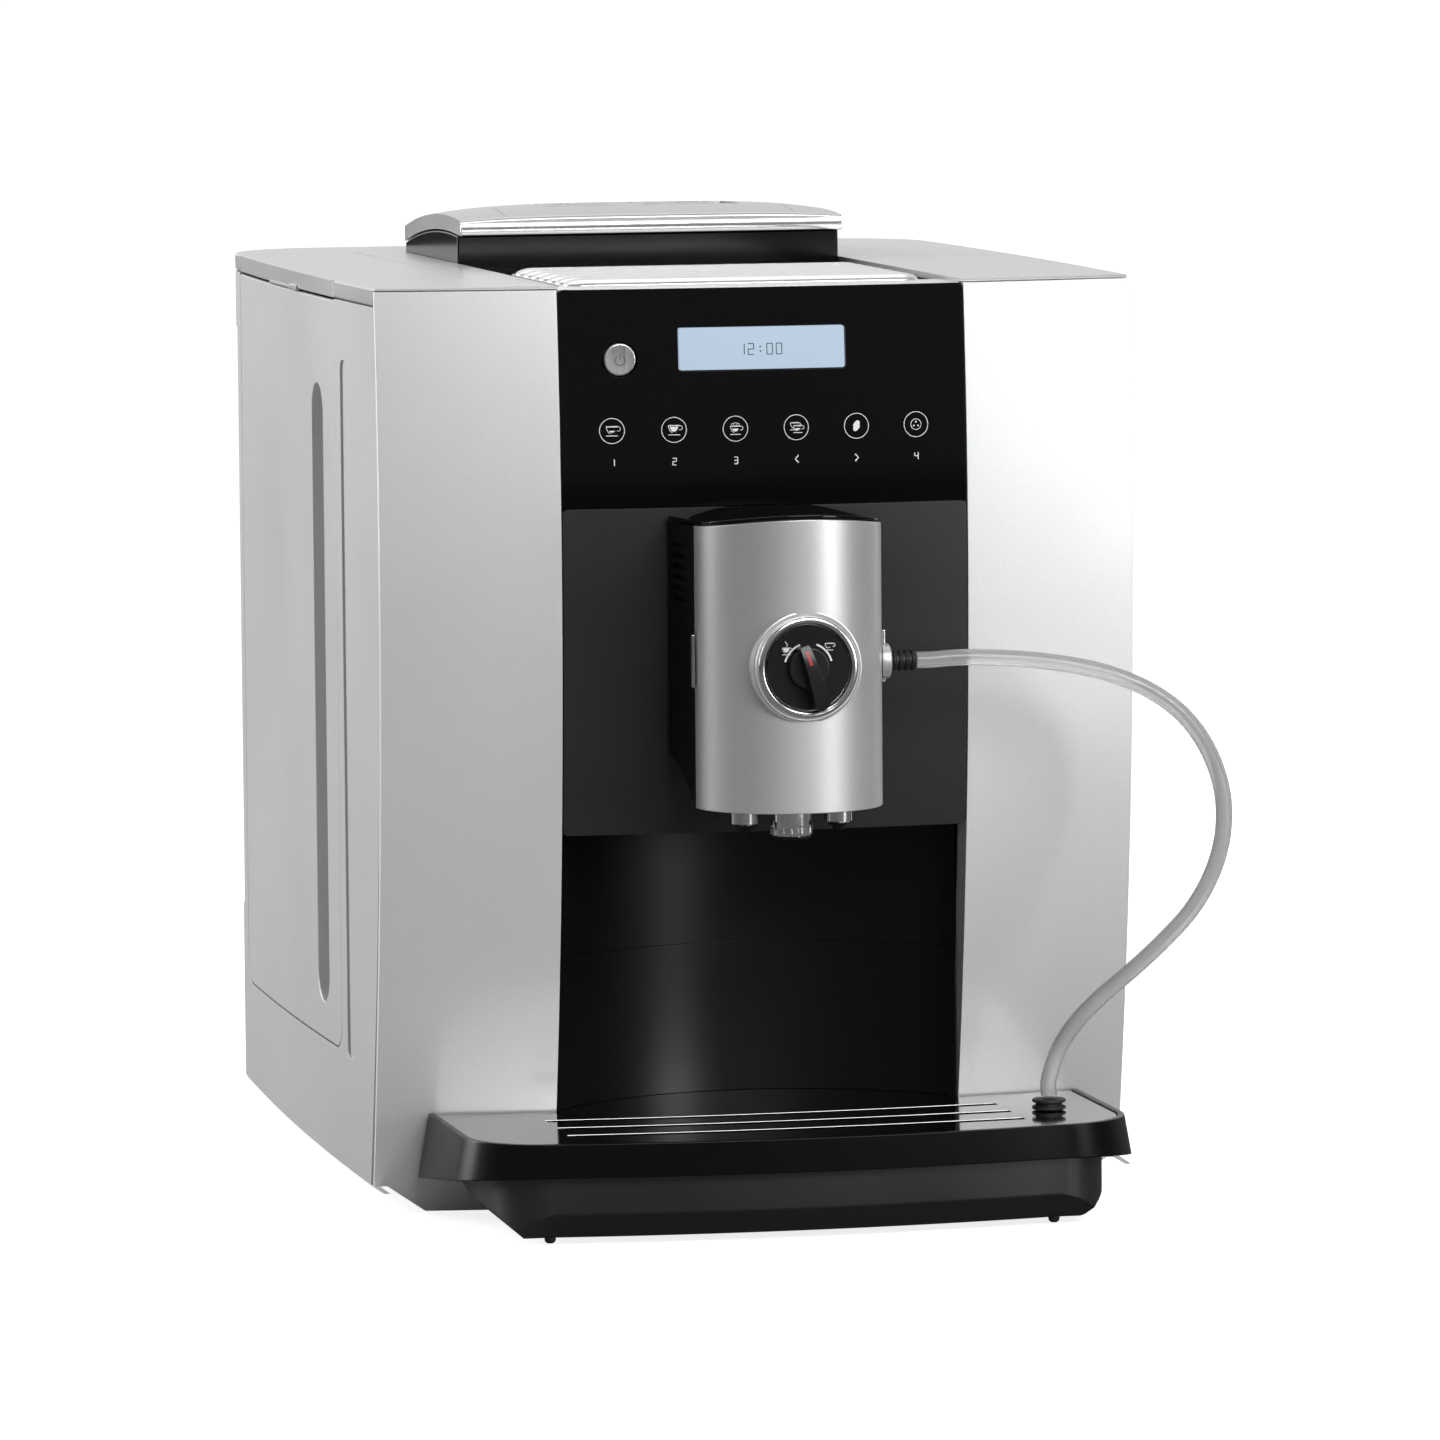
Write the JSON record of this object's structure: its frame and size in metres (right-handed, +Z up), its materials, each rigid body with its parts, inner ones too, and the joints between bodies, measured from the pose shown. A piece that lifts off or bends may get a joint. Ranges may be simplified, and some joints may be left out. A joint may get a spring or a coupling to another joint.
{
  "type": "automatic coffee machine",
  "caption": "bean-to-cup coffee machine with a bowed front, height-adjustable spout with selector knob, milk hose, drip tray, side water tank and bean hopper",
  "frame": {"origin": "on the surface under the feet, under the centre of the machine's box without the milk hose", "axes": "+Z up, the front with the display and the drip tray faces -Y, +X to the right as seen from the front"},
  "size_m": [0.3255, 0.461, 0.3874],
  "materials": {
    "silver": "satin silver lacquer",
    "grey_cover": "fine satin grey",
    "gloss_black": "high gloss black",
    "black_plastic": "satin black",
    "charcoal": "satin charcoal",
    "chrome": "bright chrome plate",
    "mirror_steel": "polished stainless steel",
    "display_glass": "pale blue display window",
    "smoked_plastic": "smoked tank plastic",
    "clear_hose": "milky clear silicone",
    "rubber": "soft black rubber",
    "board_green": "solder mask",
    "engine_grey": "cast grey",
    "brass": "plain brass"
  },
  "bodies": {
    "housing": {"base_pan": "black_plastic", "foot_front_left": "rubber", "foot_front_right": "rubber", "foot_rear_left": "rubber", "foot_rear_right": "rubber", "chassis": "black_plastic", "front_column_left": "silver", "front_column_right": "silver", "left_side_cover": "grey_cover", "right_side_cover": "grey_cover", "rear_cover": "grey_cover", "power_inlet": "black_plastic", "top_cover": "grey_cover", "top_deck": "gloss_black", "cup_rail_plate": "silver", "display_panel": "gloss_black", "lcd_window": "display_glass", "front_frame": "black_plastic", "control_board": "board_green", "middle_panel": "charcoal", "spout_guide": "black_plastic", "splash_panel": "black_plastic", "bean_hopper": "gloss_black", "grinder": "engine_grey", "brew_unit": "charcoal", "boiler": "engine_grey", "pump": "brass", "tank_bay": "black_plastic", "milk_hose": "clear_hose", "hose_foot": "rubber"},
    "drip_tray": {"tray_frame": "black_plastic", "drip_tub": "black_plastic", "drip_plate": "mirror_steel", "grounds_container": "black_plastic"},
    "spout": {"spout_carriage": "black_plastic", "spout_cover": "silver", "spout_cap": "gloss_black", "spout_clip_left": "chrome", "spout_clip_right": "chrome", "knob_bezel": "chrome", "knob_dial": "black_plastic", "coffee_nozzle_left": "chrome", "coffee_nozzle_right": "chrome", "milk_nozzle": "chrome", "milk_connector": "silver", "hose_sleeve": "rubber"},
    "knob": {"selector_knob": "black_plastic"},
    "button": {"power_button": "silver"},
    "tank_lid_body": {"tank_lid": "grey_cover"},
    "tank": {"tank_side_panel": "grey_cover", "water_tank": "smoked_plastic"},
    "bean_lid_body": {"bean_lid": "grey_cover", "lid_band": "chrome"},
    "door": {"service_door": "grey_cover"}
  },
  "joints": [
    {"name": "tray_slide", "type": "slide", "parent": "housing", "child": "drip_tray", "axis": [0, -1, 0], "range_m": [0, 0.18]},
    {"name": "spout_height", "type": "slide", "parent": "housing", "child": "spout", "axis": [0, 0, 1], "range_m": [-0.045, 0]},
    {"name": "knob_turn", "type": "hinge", "parent": "spout", "child": "knob", "pos_m": [0, -0.22, 0.221], "axis": [0, -1, 0], "range_deg": [-95, 60]},
    {"name": "power_press", "type": "slide", "parent": "housing", "child": "button", "axis": [0, 1, 0], "range_m": [0, 0.0015], "stiffness_N_per_m": 400},
    {"name": "tank_lid_hinge", "type": "hinge", "parent": "housing", "child": "tank_lid_body", "pos_m": [-0.1007, -0.055, 0.365], "axis": [0, 1, 0], "range_deg": [0, 95]},
    {"name": "tank_slide", "type": "slide", "parent": "housing", "child": "tank", "axis": [-1, 0, 0], "range_m": [0, 0.12]},
    {"name": "bean_lid_hinge", "type": "hinge", "parent": "housing", "child": "bean_lid_body", "pos_m": [0, 0.177, 0.3695], "axis": [-1, 0, 0], "range_deg": [0, 80]},
    {"name": "door_hinge", "type": "hinge", "parent": "housing", "child": "door", "pos_m": [0.1503, 0.1779, 0.045], "axis": [0, 0, 1], "range_deg": [0, 95]}
  ]
}
